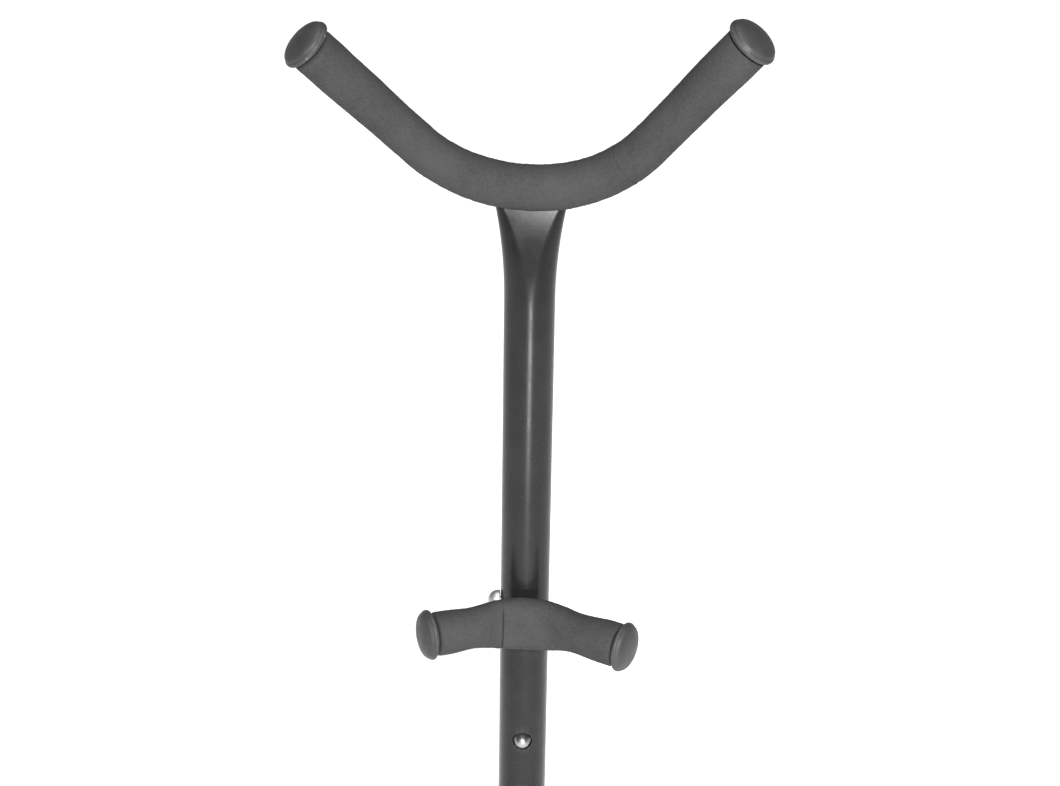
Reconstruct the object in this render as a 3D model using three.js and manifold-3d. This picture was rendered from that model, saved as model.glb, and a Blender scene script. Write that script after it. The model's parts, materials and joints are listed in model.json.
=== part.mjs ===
// Folding saxophone stand: a foam-covered upper yoke for the bell and a smaller lower yoke for
// the body, on a telescopic mast that leans back over a hub with three tubular legs.
// Millimetres, +Z up. The player's side, where the yokes open, faces -Y.

import * as THREE from 'three';
import { mergeVertices } from 'three/addons/utils/BufferGeometryUtils.js';
import Module from 'manifold-3d';

const wasm = await Module();
wasm.setup();

// ---------------------------------------------------------------- driving dimensions

const GAP = 0.3; // left between pieces that touch
const TUBE_SIDES = 20; // facets round a large tube or sleeve
const BAR_SIDES = 16; // facets round a yoke bar, a leg or a cap
const BOLT_SIDES = 12; // facets round a fastener or its hole
const radians = THREE.MathUtils.degToRad;

const LEAN = radians(10); // of the mast, backwards from upright
const SHAFT_LENGTH = 392; // from the upper yoke bar's lowest point down to the hub

const MAST = {
  radius: 11.1,
  wall: 1.2,
  length: 345.5,
  pressedHalf: 3.2, // half thickness of the pressed-flat top end
  pressedStart: 6, // below the yoke bar's centre line
  pressedLength: 44, // over which the flat runs out into the round tube
  pressedSteps: 7,
};

const INNER = {
  clearance: 0.375, // radial, inside the mast
  wall: 1.2,
  topDrop: 235, // of its upper end below the upper yoke
};

const BUTTON = {
  drop: 265.5, // below the upper yoke
  radius: 4.15,
  holeClearance: 0.4,
  mastSag: 0.1, // the mast's hole sits this much lower, because the mast hangs on the button
  pitch: 30, // between the mast's height holes
  stops: 3,
  dome: 3.5, // that stands out of the mast
  flangeRadius: 5,
  flangeThickness: 1,
  flangeDepth: 3.2, // of the flange's outer face below the inner tube's surface
};

const SPRING = { thickness: 0.8, width: 7, bendDrop: 40, tail: 8 };

const BAR = { radius: 6.35, wall: 1.2 };

const UPPER = {
  tilt: radians(22.5), // of the yoke's plane, forwards from the mast's axis
  shift: 2, // of its lowest point, to the right of the mast's axis
  leftRadius: 65.8,
  rightRadius: 57.5,
  leftBend: radians(48.7),
  rightBend: radians(54.1),
  leftArm: 119.2, // along the bar, from its lowest point to its end
  rightArm: 117.8,
  seam: 41, // where the long and the short sleeve meet, to the right
  foamMiddle: 3.55, // foam wall at the lowest point, along the arm and at the end
  foamArm: 2.8,
  foamEnd: 3.4,
  step: 9, // between the facets along the bend
};

const LOWER = {
  drop: 199.5, // below the upper yoke
  turn: radians(1.2), // right arm down
  leftRadius: 45.4,
  rightRadius: 45.4,
  leftBend: radians(23.2),
  rightBend: radians(28.2),
  leftArm: 42.4,
  rightArm: 46.4,
  seam: -10.5,
  pressedHalf: 2.5, // half thickness where the bar is pressed flat for its bolt
  flatHalf: 9, // of the length that is fully flat
  flatRunOut: 18,
  foamMiddle: 3.9,
  foamArm: 2.75,
  foamEnd: 3.6,
  step: 6,
};

const FOAM_ROUND = 1.6; // rounding at the end of a sleeve
const STOP_APART = 0.5; // least distance between two rings of a bar or a sleeve
const MAST_SLOT_GAP = 0.4; // round the mast where it enters the foam

const CAP = {
  flangeRadius: 11.3,
  flangeThickness: 2.4,
  neckRadius: 8.6,
  neckLength: 0.8,
  stemLength: 10,
  lip: 0.8,
  dome: 3.6,
  domeSteps: 5,
};

const SADDLE = { radius: 8, height: 4.4 };
const YOKE_BOLT = { radius: 2.5, headRadius: 5, headHeight: 2, reach: 3 };
const PLUG = { length: 24, pocketFloor: 2.3 };
const CAPTIVE_NUT = { flats: 8, height: 4 };
const SIDE_SCREW = { radius: 1.7, headRadius: 4.6, headHeight: 5.5, length: 5.4, rise: 2.5 };

const COLLAR = { wall: 2.1, length: 15, lip: 2.7 };

const SOCKET = { wall: 2.2, height: 35, boltDrop: 18 };
const SOCKET_BOLT = { radius: 2.5, headRadius: 4.5, headHeight: 3, spare: 2 };
const SOCKET_NUT = { flats: 8, height: 4 };

const LEG = {
  radius: 8,
  wall: 1.2,
  pressedHalf: 3, // half thickness of the flat end in the hub
  height: 29, // of the flat end's middle above the floor
  runOut: 32, // from flat to round
  steps: 4, // of that change
  frontReach: 195,
  rearReach: 175,
  frontFlat: 24, // from the pivot to the bend
  rearFlat: 40,
  splay: radians(30), // of an open front leg, forwards from straight sideways
  foldGap: 4.3, // between a folded leg and the rear leg
};

const BOOT = {
  wall: 2.2,
  under: 3.5, // rubber below the tube's end
  sleeve: 26,
  endWall: 4,
  padRadius: 11,
  padHeight: 14,
  padSetBack: 4,
  edge: 1.5,
};

const HUB = {
  plate: 3,
  pivotForward: 14,
  margin: 14, // of plate round a pivot
  rearBolts: [22, 44],
  rearMargin: 12,
  foldMargin: 2, // between the plates' shoulder and the bend of a folded leg
  cornerRadius: 7,
};

const PIVOT_BOLT = { radius: 3, headRadius: 5.5, headHeight: 3.5, spare: 1.5 };
const PIVOT_NUT = { flats: 10, height: 5 };
const WASHER = { radius: 6, thickness: 1.2 };
const STOP = { shoulder: 4, radius: 2.5, headRadius: 4.5, headHeight: 1.8, along: 8.5 };

// ---------------------------------------------------------------- sizes that follow from them

const mastBore = MAST.radius - MAST.wall;
const innerRadius = mastBore - INNER.clearance;
const innerBore = innerRadius - INNER.wall;
const lowerForward = MAST.radius + SADDLE.height + LOWER.pressedHalf;
const legFlatHalf = LEG.pressedHalf + pressedStraight(LEG.radius, LEG.pressedHalf);
const pivotSide = 2 * legFlatHalf + LEG.foldGap;
const topPlateUnder = LEG.height + LEG.pressedHalf + GAP;
const topPlateTop = topPlateUnder + HUB.plate;
const bottomPlateTop = LEG.height - LEG.pressedHalf - GAP;
const bottomPlateUnder = bottomPlateTop - HUB.plate;
const footCentre = LEG.radius + BOOT.under;

// ---------------------------------------------------------------- materials

function finish(colour, roughness, metalness) {
  return new THREE.MeshStandardMaterial({ color: colour, roughness, metalness });
}

const blackPaint = finish(0x2c2c2e, 0.38, 0.25);
const foamGrey = finish(0x5b5b5d, 0.95, 0);
const blackPlastic = finish(0x404042, 0.55, 0);
const nylon = finish(0xd8d6cf, 0.6, 0);
const steel = finish(0xb4b6b8, 0.3, 1);
const springSteel = finish(0x7c8086, 0.35, 1);
const rubber = finish(0x1f1f20, 0.9, 0);

// ---------------------------------------------------------------- shapes

// One closed body: shared vertices merged, empty triangles dropped, faces pointing out.
function closed(geometry) {
  const bare = geometry.clone();
  bare.deleteAttribute('normal');
  bare.deleteAttribute('uv');
  const merged = mergeVertices(bare, 1e-4);
  const corner = merged.attributes.position;
  const kept = [];
  const a = new THREE.Vector3();
  const b = new THREE.Vector3();
  const c = new THREE.Vector3();
  let volume = 0;
  for (let i = 0; i < merged.index.count; i += 3) {
    const [p, q, r] = [0, 1, 2].map((k) => merged.index.getX(i + k));
    if (p === q || q === r || r === p) {
      continue;
    }
    kept.push([p, q, r]);
    a.fromBufferAttribute(corner, p);
    b.fromBufferAttribute(corner, q);
    c.fromBufferAttribute(corner, r);
    volume += a.dot(b.cross(c));
  }
  const outward = volume > 0 ? kept : kept.map(([p, q, r]) => [p, r, q]);
  merged.setIndex(outward.flat());
  return merged;
}

function solid(geometry) {
  const body = closed(geometry);
  const mesh = new wasm.Mesh({
    numProp: 3,
    vertProperties: new Float32Array(body.attributes.position.array),
    triVerts: new Uint32Array(body.index.array),
  });
  return new wasm.Manifold(mesh);
}

function geometryOf(body) {
  const mesh = body.getMesh();
  const geometry = new THREE.BufferGeometry();
  geometry.setAttribute('position', new THREE.BufferAttribute(new Float32Array(mesh.vertProperties), 3));
  geometry.setIndex(new THREE.BufferAttribute(new Uint32Array(mesh.triVerts), 1));
  return geometry;
}

function cut(geometry, ...tools) {
  return geometryOf(tools.reduce((body, tool) => body.subtract(solid(tool)), solid(geometry)));
}

function joined(geometry, other) {
  return geometryOf(solid(geometry).add(solid(other)));
}

function common(geometry, other) {
  return geometryOf(solid(geometry).intersect(solid(other)));
}

const at = (x, y, z) => new THREE.Vector3(x, y, z);
const acrossX = at(1, 0, 0);
const acrossY = at(0, 1, 0);
const upZ = at(0, 0, 1);

// A smooth step from one value to another as the share goes from 0 to 1.
function eased(from, to, share) {
  return from + (to - from) * THREE.MathUtils.smoothstep(share, 0, 1);
}

function evenly(from, to, longestStep) {
  const steps = Math.max(1, Math.ceil(Math.abs(to - from) / longestStep - 1e-9));
  return Array.from({ length: steps + 1 }, (_, i) => from + ((to - from) * i) / steps);
}

// Half the straight side of a round tube that is pressed flat without stretching its wall.
function pressedStraight(radius, half) {
  return (Math.PI * (radius - half)) / 2;
}

// Section of a tube pressed to a half thickness: two half rounds joined by straight sides.
function pressedSection(radius, half, sides) {
  const straight = pressedStraight(radius, half);
  return Array.from({ length: sides }, (_, i) => {
    const angle = ((i + 0.5) * 2 * Math.PI) / sides;
    return [half * Math.cos(angle) + Math.sign(Math.cos(angle)) * straight, half * Math.sin(angle)];
  });
}

// A ring of points at a place, with the section's width along `wide` and thickness along `thin`.
function ring(place, section) {
  return section.map(([u, v]) => place.at.clone().addScaledVector(place.wide, u).addScaledVector(place.thin, v));
}

// A closed skin over rings of points. A hollow one closes from the last ring back to the first.
function skin(rings, hollow) {
  const sides = rings[0].length;
  const spans = hollow ? rings.length : rings.length - 1;
  const faces = [];
  for (let i = 0; i < spans; i += 1) {
    const here = i * sides;
    const there = ((i + 1) % rings.length) * sides;
    for (let k = 0; k < sides; k += 1) {
      const next = (k + 1) % sides;
      faces.push(here + k, here + next, there + next, here + k, there + next, there + k);
    }
  }
  for (let k = 1; k < sides - 1 && !hollow; k += 1) {
    const end = (rings.length - 1) * sides;
    faces.push(0, k + 1, k, end, end + k, end + k + 1);
  }
  const geometry = new THREE.BufferGeometry().setFromPoints(rings.flat());
  geometry.setIndex(faces);
  return geometry;
}

// A tube through places that each hold a radius and a half thickness, open at both ends.
function tube(places, wall, sides) {
  const outer = places.map((p) => ring(p, pressedSection(p.radius, p.half, sides)));
  const inner = places.map((p) => ring(p, pressedSection(p.radius - wall, p.half - wall, sides)));
  return skin([...outer, ...inner.reverse()], true);
}

// The same outline filled, made larger by a clearance.
function filled(places, clearance, sides) {
  return skin(places.map((p) => ring(p, pressedSection(p.radius + clearance, p.half + clearance, sides))), false);
}

function rod(from, to, radius, sides = BOLT_SIDES) {
  const along = to.clone().sub(from);
  const geometry = new THREE.CylinderGeometry(radius, radius, along.length(), sides);
  geometry.applyQuaternion(new THREE.Quaternion().setFromUnitVectors(acrossY, along.normalize()));
  geometry.translate(...from.clone().add(to).multiplyScalar(0.5).toArray());
  return geometry;
}

function box(low, high) {
  const size = high.clone().sub(low);
  const geometry = new THREE.BoxGeometry(size.x, size.y, size.z);
  geometry.translate(...low.clone().add(high).multiplyScalar(0.5).toArray());
  return geometry;
}

// A turned piece: its profile of [radius, height] pairs, standing at a place along a direction.
function turned(profile, place, direction, sides = BOLT_SIDES) {
  const geometry = new THREE.LatheGeometry(profile.map(([r, h]) => new THREE.Vector2(r, h)), sides);
  geometry.applyQuaternion(new THREE.Quaternion().setFromUnitVectors(acrossY, direction));
  geometry.translate(...place.toArray());
  return geometry;
}

// A round-headed bolt: the head's underside sits at the place, the shank runs the other way.
function bolt(size, length, place, direction) {
  const profile = [
    [0, -length],
    [size.radius, -length],
    [size.radius, 0],
    [size.headRadius, 0],
    [size.headRadius, size.headHeight * 0.4],
    [size.headRadius * 0.85, size.headHeight * 0.75],
    [size.headRadius * 0.5, size.headHeight],
    [0, size.headHeight],
  ];
  return turned(profile, place, direction);
}

function hexPrism(flats, from, to) {
  return rod(from, to, flats / Math.sqrt(3), 6);
}

function nut(size, boltRadius, place, direction) {
  const end = place.clone().addScaledVector(direction, size.height);
  const before = place.clone().addScaledVector(direction, -1);
  const after = place.clone().addScaledVector(direction, size.height + 1);
  return cut(hexPrism(size.flats, place, end), rod(before, after, boltRadius + GAP));
}

function addPiece(parent, name, geometry, material) {
  const piece = new THREE.Mesh(closed(geometry), material);
  piece.name = name;
  parent.add(piece);
  return piece;
}

// ---------------------------------------------------------------- mast and telescope
// In the shaft's own frame: +Z up along it, -Y to the front, 0 at the upper yoke bar.

function mastPlace(drop) {
  const share = THREE.MathUtils.clamp((drop - MAST.pressedStart) / MAST.pressedLength, 0, 1);
  const half = MAST.radius - (MAST.radius - MAST.pressedHalf) * (1 - share) ** 2;
  return { at: at(0, 0, -drop), wide: acrossX, thin: acrossY, radius: MAST.radius, half };
}

function mastPlaces(fromDrop, toDrop) {
  const flatEnd = MAST.pressedStart + MAST.pressedLength;
  const drops = evenly(fromDrop, Math.min(flatEnd, toDrop), MAST.pressedLength / MAST.pressedSteps);
  return [...drops, ...(toDrop > flatEnd ? [toDrop] : [])].map(mastPlace);
}

function frontHole(drop, radius, depth) {
  return rod(at(0, -depth, -drop), at(0, -2 * MAST.radius, -drop), radius);
}

function mastTube() {
  const blank = tube(mastPlaces(-1, MAST.length), MAST.wall, TUBE_SIDES);
  const barRoom = filled(yokePlaces(UPPER, -2 * MAST.radius, 2 * MAST.radius), GAP, TUBE_SIDES);
  barRoom.rotateX(UPPER.tilt);
  barRoom.translate(UPPER.shift, 0, 0);
  const stops = Array.from({ length: BUTTON.stops }, (_, i) => BUTTON.drop + BUTTON.mastSag + i * BUTTON.pitch);
  const heightHoles = stops.map((drop) => frontHole(drop, BUTTON.radius + BUTTON.holeClearance, innerBore / 2));
  const boltHole = frontHole(LOWER.drop, YOKE_BOLT.radius + GAP, innerBore / 2);
  const screwRise = at(0, 0, SIDE_SCREW.rise - LOWER.drop);
  const screwHole = rod(at(-2 * MAST.radius, 0, 0).add(screwRise), at(-innerBore / 2, 0, 0).add(screwRise),
    SIDE_SCREW.radius + GAP);
  return cut(blank, barRoom, ...heightHoles, boltHole, screwHole);
}

function mastCollar() {
  const outer = MAST.radius + GAP + COLLAR.wall;
  const bottom = -MAST.length - COLLAR.lip - GAP;
  const top = bottom + COLLAR.length;
  const profile = [
    [innerRadius + GAP, bottom],
    [outer - 0.6, bottom],
    [outer, bottom + 0.6],
    [outer, top - 0.6],
    [outer - 0.6, top],
    [MAST.radius + GAP, top],
    [MAST.radius + GAP, -MAST.length - GAP],
    [innerRadius + GAP, -MAST.length - GAP],
    [innerRadius + GAP, bottom],
  ];
  return turned(profile, at(0, 0, 0), upZ, TUBE_SIDES);
}

// Everything under the hub's top face, as seen from the leaning shaft.
function belowHub(clearance) {
  const room = box(at(-100, -100, -100), at(100, 100, clearance));
  room.rotateX(LEAN);
  room.translate(0, 0, -SHAFT_LENGTH);
  return room;
}

function socketBoltHole() {
  const drop = SHAFT_LENGTH - SOCKET.boltDrop;
  return rod(at(-2 * MAST.radius, 0, -drop), at(2 * MAST.radius, 0, -drop), SOCKET_BOLT.radius + GAP);
}

function innerTube() {
  const places = [INNER.topDrop, SHAFT_LENGTH + innerRadius].map((drop) => (
    { at: at(0, 0, -drop), wide: acrossX, thin: acrossY, radius: innerRadius, half: innerRadius }));
  const blank = tube(places, INNER.wall, TUBE_SIDES);
  const buttonHole = frontHole(BUTTON.drop, BUTTON.radius + GAP, innerBore / 2);
  return cut(blank, buttonHole, socketBoltHole(), belowHub(GAP));
}

function snapButton() {
  const flangeTop = innerRadius - BUTTON.flangeDepth;
  const crown = MAST.radius + BUTTON.dome;
  const profile = [
    [0, flangeTop - BUTTON.flangeThickness],
    [BUTTON.flangeRadius, flangeTop - BUTTON.flangeThickness],
    [BUTTON.flangeRadius, flangeTop],
    [BUTTON.radius, flangeTop],
    [BUTTON.radius, MAST.radius],
    [BUTTON.radius * 0.93, MAST.radius + BUTTON.dome * 0.4],
    [BUTTON.radius * 0.74, MAST.radius + BUTTON.dome * 0.72],
    [BUTTON.radius * 0.42, MAST.radius + BUTTON.dome * 0.93],
    [0, crown],
  ];
  return turned(profile, at(0, 0, -BUTTON.drop), at(0, -1, 0));
}

// A strip bent into a V inside the inner tube: one leg behind the button, one on the back wall.
function buttonSpring() {
  const front = innerRadius - BUTTON.flangeDepth - BUTTON.flangeThickness - GAP - SPRING.thickness / 2;
  const halfWidth = SPRING.width / 2;
  const back = Math.sqrt(innerBore ** 2 - halfWidth ** 2) - GAP - SPRING.thickness / 2;
  const bend = -BUTTON.drop - SPRING.bendDrop;
  const middle = (front - back) / 2;
  const route = new THREE.CatmullRomCurve3([
    at(0, -front, SPRING.tail - BUTTON.drop),
    at(0, -front, -SPRING.tail - BUTTON.drop),
    at(0, -middle - 2, bend + 4),
    at(0, -middle, bend),
    at(0, -middle + 2, bend + 4),
    at(0, back, -SPRING.tail - BUTTON.drop),
    at(0, back - 1, SPRING.tail - BUTTON.drop),
  ], false, 'centripetal');
  const count = 20;
  const rings = Array.from({ length: count + 1 }, (_, i) => {
    const along = route.getTangent(i / count);
    const place = { at: route.getPoint(i / count), wide: acrossX, thin: along.cross(acrossX).normalize() };
    const t = SPRING.thickness / 2;
    return ring(place, [[halfWidth, -t], [halfWidth, t], [-halfWidth, t], [-halfWidth, -t]]);
  });
  return skin(rings, false);
}

// ---------------------------------------------------------------- yokes
// In a yoke's own frame: the bar bends up from the origin in the XZ plane.

function yokePlace(yoke, distance) {
  const radius = distance < 0 ? yoke.leftRadius : yoke.rightRadius;
  const angle = THREE.MathUtils.clamp(distance / radius, -yoke.leftBend, yoke.rightBend);
  const beyond = distance - angle * radius;
  const along = at(Math.cos(angle), 0, Math.sin(angle));
  const place = at(radius * Math.sin(angle), 0, radius * (1 - Math.cos(angle)));
  const half = yoke.pressedHalf
    ? eased(yoke.pressedHalf, BAR.radius, (Math.abs(distance) - yoke.flatHalf) / yoke.flatRunOut)
    : BAR.radius;
  return {
    at: place.addScaledVector(along, beyond),
    along,
    wide: acrossY,
    thin: at(-along.z, 0, along.x),
    radius: BAR.radius,
    half,
  };
}

// Distances along the bar: close together where it is bent or pressed, a longer step apart on the arms.
function yokeStops(yoke, from, to, armStep) {
  const pressed = yoke.pressedHalf ? yoke.flatHalf + yoke.flatRunOut : 0;
  const low = Math.min(-yoke.leftRadius * yoke.leftBend, -pressed);
  const high = Math.max(yoke.rightRadius * yoke.rightBend, pressed);
  const wholeBar = [
    ...evenly(Math.min(-yoke.leftArm, low), low, armStep),
    ...evenly(low, high, yoke.step),
    ...evenly(high, Math.max(yoke.rightArm, high), armStep),
  ];
  const between = wholeBar.filter((stop) => stop > from + STOP_APART && stop < to - STOP_APART);
  return [from, ...new Set(between), to];
}

function yokePlaces(yoke, from, to) {
  return yokeStops(yoke, from, to, Infinity).map((distance) => yokePlace(yoke, distance));
}

function yokeBar(yoke, ...holes) {
  return cut(tube(yokePlaces(yoke, -yoke.leftArm, yoke.rightArm), BAR.wall, BAR_SIDES), ...holes);
}

// The foam's wall: thick where the bar is lowest, thinner along an arm, thick again at its end.
function foamWall(yoke, distance) {
  const arm = distance < 0 ? yoke.leftArm : yoke.rightArm;
  const share = Math.abs(distance) / arm;
  const inner = eased(yoke.foamMiddle, yoke.foamArm, share / 0.55);
  return eased(inner, yoke.foamEnd, (share - 0.55) / 0.35);
}

function foamSleeve(yoke, from, to) {
  const outer = [];
  const endShares = [[0, FOAM_ROUND], [0.35, FOAM_ROUND * 0.35], [1, 0]];
  const addRing = (distance, drop) => {
    const place = yokePlace(yoke, distance);
    const wall = foamWall(yoke, distance) - drop;
    outer.push(ring(place, pressedSection(place.radius + wall, place.half + wall, TUBE_SIDES)));
  };
  endShares.forEach(([share, drop]) => addRing(from + share * FOAM_ROUND, drop));
  const stops = yokeStops(yoke, from + FOAM_ROUND, to - FOAM_ROUND, 2 * yoke.step).slice(1, -1);
  stops.forEach((distance) => addRing(distance, 0));
  endShares.reverse().forEach(([share, drop]) => addRing(to - share * FOAM_ROUND, drop));
  const inner = yokePlaces(yoke, from, to).map((place) => (
    ring(place, pressedSection(place.radius + GAP, place.half + GAP, TUBE_SIDES))));
  return skin([...outer, ...inner.reverse()], true);
}

// A plug with a round flange and a domed crown, pushed into the end of a bar.
function endCap(yoke, distance) {
  const place = yokePlace(yoke, distance);
  const outward = place.along.clone().multiplyScalar(Math.sign(distance));
  const stem = BAR.radius - BAR.wall - GAP;
  const flange = GAP + CAP.neckLength;
  const face = flange + CAP.flangeThickness;
  const profile = [
    [0, -CAP.stemLength],
    [stem - 0.5, -CAP.stemLength],
    [stem, -CAP.stemLength + 0.6],
    [stem, GAP],
    [CAP.neckRadius, GAP],
    [CAP.neckRadius, flange],
    [CAP.flangeRadius - CAP.lip, flange],
    [CAP.flangeRadius, flange + CAP.lip],
    [CAP.flangeRadius, face - CAP.lip],
  ];
  for (let i = 0; i <= CAP.domeSteps; i += 1) {
    const angle = Math.PI / 2 * i / CAP.domeSteps;
    profile.push([(CAP.flangeRadius - CAP.lip / 2) * Math.cos(angle), face + CAP.dome * Math.sin(angle)]);
  }
  return turned(profile, place.at, outward, BAR_SIDES);
}

function addYoke(group, yoke, names, sleeves, barHoles, foamCuts) {
  addPiece(group, names.bar, yokeBar(yoke, ...barHoles), blackPaint);
  sleeves.forEach(({ name, from, to }) => {
    addPiece(group, name, cut(foamSleeve(yoke, from, to), ...foamCuts), foamGrey);
  });
  addPiece(group, names.leftCap, endCap(yoke, -yoke.leftArm), blackPlastic);
  addPiece(group, names.rightCap, endCap(yoke, yoke.rightArm), blackPlastic);
}

function upperYoke() {
  const group = new THREE.Group();
  group.position.x = UPPER.shift;
  group.rotation.x = UPPER.tilt;
  const mastRoom = filled(mastPlaces(-1, 2 * MAST.radius), MAST_SLOT_GAP, TUBE_SIDES);
  mastRoom.translate(-UPPER.shift, 0, 0);
  mastRoom.rotateX(-UPPER.tilt);
  const sleeves = [
    { name: 'upper_foam_long', from: -UPPER.leftArm, to: UPPER.seam - GAP / 2 },
    { name: 'upper_foam_short', from: UPPER.seam + GAP / 2, to: UPPER.rightArm },
  ];
  const names = { bar: 'upper_yoke_bar', leftCap: 'upper_cap_left', rightCap: 'upper_cap_right' };
  addYoke(group, UPPER, names, sleeves, [], [mastRoom]);
  return group;
}

// The lower yoke opens forwards: its own +Z is the shaft's -Y, and its back is at -Z.
function lowerYoke() {
  const plane = new THREE.Group();
  plane.rotation.x = Math.PI / 2;
  const boltHole = rod(at(0, 0, -MAST.radius), at(0, 0, MAST.radius), YOKE_BOLT.radius + GAP);
  const saddleRoom = rod(at(0, 0, -2 * MAST.radius), at(0, 0, 0), SADDLE.radius + 2 * GAP, TUBE_SIDES);
  const headTop = LOWER.pressedHalf + GAP + YOKE_BOLT.headHeight + GAP;
  const headRoom = rod(at(0, 0, 0), at(0, 0, headTop), YOKE_BOLT.headRadius + GAP);
  const sleeves = [
    { name: 'lower_foam_left', from: -LOWER.leftArm, to: LOWER.seam - GAP / 2 },
    { name: 'lower_foam_right', from: LOWER.seam + GAP / 2, to: LOWER.rightArm },
  ];
  const names = { bar: 'lower_yoke_bar', leftCap: 'lower_cap_left', rightCap: 'lower_cap_right' };
  addYoke(plane, LOWER, names, sleeves, [boltHole], [saddleRoom, headRoom]);
  const group = new THREE.Group();
  group.position.set(0, -lowerForward, -LOWER.drop);
  group.rotation.y = LOWER.turn;
  group.add(plane);
  return group;
}

// ---------------------------------------------------------------- lower yoke's fixing

function yokeSaddle() {
  const front = MAST.radius + SADDLE.height - GAP;
  const blank = rod(at(0, -MAST.radius / 2, -LOWER.drop), at(0, -front, -LOWER.drop), SADDLE.radius, TUBE_SIDES);
  const drops = [LOWER.drop - 2 * SADDLE.radius, LOWER.drop + 2 * SADDLE.radius];
  const mastRoom = filled(drops.map(mastPlace), GAP, TUBE_SIDES);
  return cut(blank, mastRoom, frontHole(LOWER.drop, YOKE_BOLT.radius + GAP, 0));
}

function yokeBolt() {
  const seat = lowerForward + LOWER.pressedHalf + GAP;
  return bolt(YOKE_BOLT, seat + YOKE_BOLT.reach, at(0, -seat, -LOWER.drop), at(0, -1, 0));
}

function captiveNut() {
  return nut(CAPTIVE_NUT, YOKE_BOLT.radius, at(0, GAP - PLUG.pocketFloor, -LOWER.drop), acrossY);
}

function anchorPlug() {
  const halfLength = PLUG.length / 2;
  const radius = mastBore - GAP;
  const blank = rod(at(0, 0, -LOWER.drop - halfLength), at(0, 0, -LOWER.drop + halfLength), radius, TUBE_SIDES);
  const pocket = hexPrism(CAPTIVE_NUT.flats + 2 * GAP, at(0, -PLUG.pocketFloor, -LOWER.drop),
    at(0, 2 * MAST.radius, -LOWER.drop));
  const boltHole = rod(at(0, -2 * MAST.radius, -LOWER.drop), at(0, 0, -LOWER.drop), YOKE_BOLT.radius + GAP);
  const rise = SIDE_SCREW.rise - LOWER.drop;
  const tip = MAST.radius + GAP - SIDE_SCREW.length - GAP;
  const screwHole = rod(at(-2 * MAST.radius, 0, rise), at(-tip, 0, rise), SIDE_SCREW.radius + GAP);
  return cut(blank, pocket, boltHole, screwHole);
}

function sideScrew() {
  const place = at(-MAST.radius - GAP, 0, SIDE_SCREW.rise - LOWER.drop);
  return bolt(SIDE_SCREW, SIDE_SCREW.length, place, at(-1, 0, 0));
}

// ---------------------------------------------------------------- socket

function socket() {
  const outer = innerRadius + GAP + SOCKET.wall;
  const places = [SHAFT_LENGTH - SOCKET.height, SHAFT_LENGTH + outer].map((drop) => (
    { at: at(0, 0, -drop), wide: acrossX, thin: acrossY, radius: outer, half: outer }));
  return cut(tube(places, SOCKET.wall, TUBE_SIDES), socketBoltHole(), belowHub(GAP));
}

function addSocketBolt(shaft) {
  const seat = innerRadius + GAP + SOCKET.wall + GAP;
  const drop = SHAFT_LENGTH - SOCKET.boltDrop;
  const length = 2 * seat + SOCKET_NUT.height + SOCKET_BOLT.spare;
  addPiece(shaft, 'socket_bolt', bolt(SOCKET_BOLT, length, at(seat, 0, -drop), acrossX), steel);
  addPiece(shaft, 'socket_nut', nut(SOCKET_NUT, SOCKET_BOLT.radius, at(-seat, 0, -drop), at(-1, 0, 0)), steel);
}

function shaft() {
  const group = new THREE.Group();
  group.rotation.x = -LEAN;
  group.position.set(0, SHAFT_LENGTH * Math.sin(LEAN), topPlateTop + SHAFT_LENGTH * Math.cos(LEAN));
  addPiece(group, 'mast_tube', mastTube(), blackPaint);
  addPiece(group, 'mast_collar', mastCollar(), blackPlastic);
  addPiece(group, 'inner_tube', innerTube(), steel);
  addPiece(group, 'snap_button', snapButton(), steel);
  addPiece(group, 'button_spring', buttonSpring(), springSteel);
  addPiece(group, 'yoke_saddle', yokeSaddle(), blackPlastic);
  addPiece(group, 'yoke_bolt', yokeBolt(), steel);
  addPiece(group, 'captive_nut', captiveNut(), steel);
  addPiece(group, 'anchor_plug', anchorPlug(), nylon);
  addPiece(group, 'side_screw', sideScrew(), steel);
  addPiece(group, 'socket', socket(), blackPaint);
  addSocketBolt(group);
  group.add(upperYoke(), lowerYoke());
  return group;
}

// ---------------------------------------------------------------- legs
// In a leg's own frame: +X outwards from its first bolt, on the floor, +Z up.

function legPlaces(flat, reach) {
  const fall = Math.atan2(LEG.height - footCentre, reach - flat);
  const start = -legFlatHalf - 1;
  const slope = (x) => LEG.height - Math.max(0, x - flat) * Math.tan(fall);
  return [start, ...evenly(flat, flat + LEG.runOut, LEG.runOut / LEG.steps), reach].map((x) => {
    const angle = x < flat ? 0 : x === flat ? fall / 2 : fall;
    return {
      at: at(x, 0, slope(x)),
      wide: acrossY,
      thin: at(Math.sin(angle), 0, Math.cos(angle)),
      radius: LEG.radius,
      half: eased(LEG.pressedHalf, LEG.radius, (x - flat) / LEG.runOut),
    };
  });
}

function leg(flat, reach, holes) {
  const blank = tube(legPlaces(flat, reach), LEG.wall, BAR_SIDES);
  const round = legFlatHalf + 1;
  const plan = new THREE.Shape();
  plan.absarc(1, 0, round, Math.PI / 2, 1.5 * Math.PI);
  plan.lineTo(2 * reach, -round);
  plan.lineTo(2 * reach, round);
  const outline = new THREE.ExtrudeGeometry(plan, { depth: 2 * LEG.height, bevelEnabled: false, curveSegments: 12 });
  const drills = holes.map((x) => rod(at(x, 0, 0), at(x, 0, 2 * LEG.height), PIVOT_BOLT.radius + GAP));
  return cut(common(blank, outline), ...drills);
}

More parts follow.
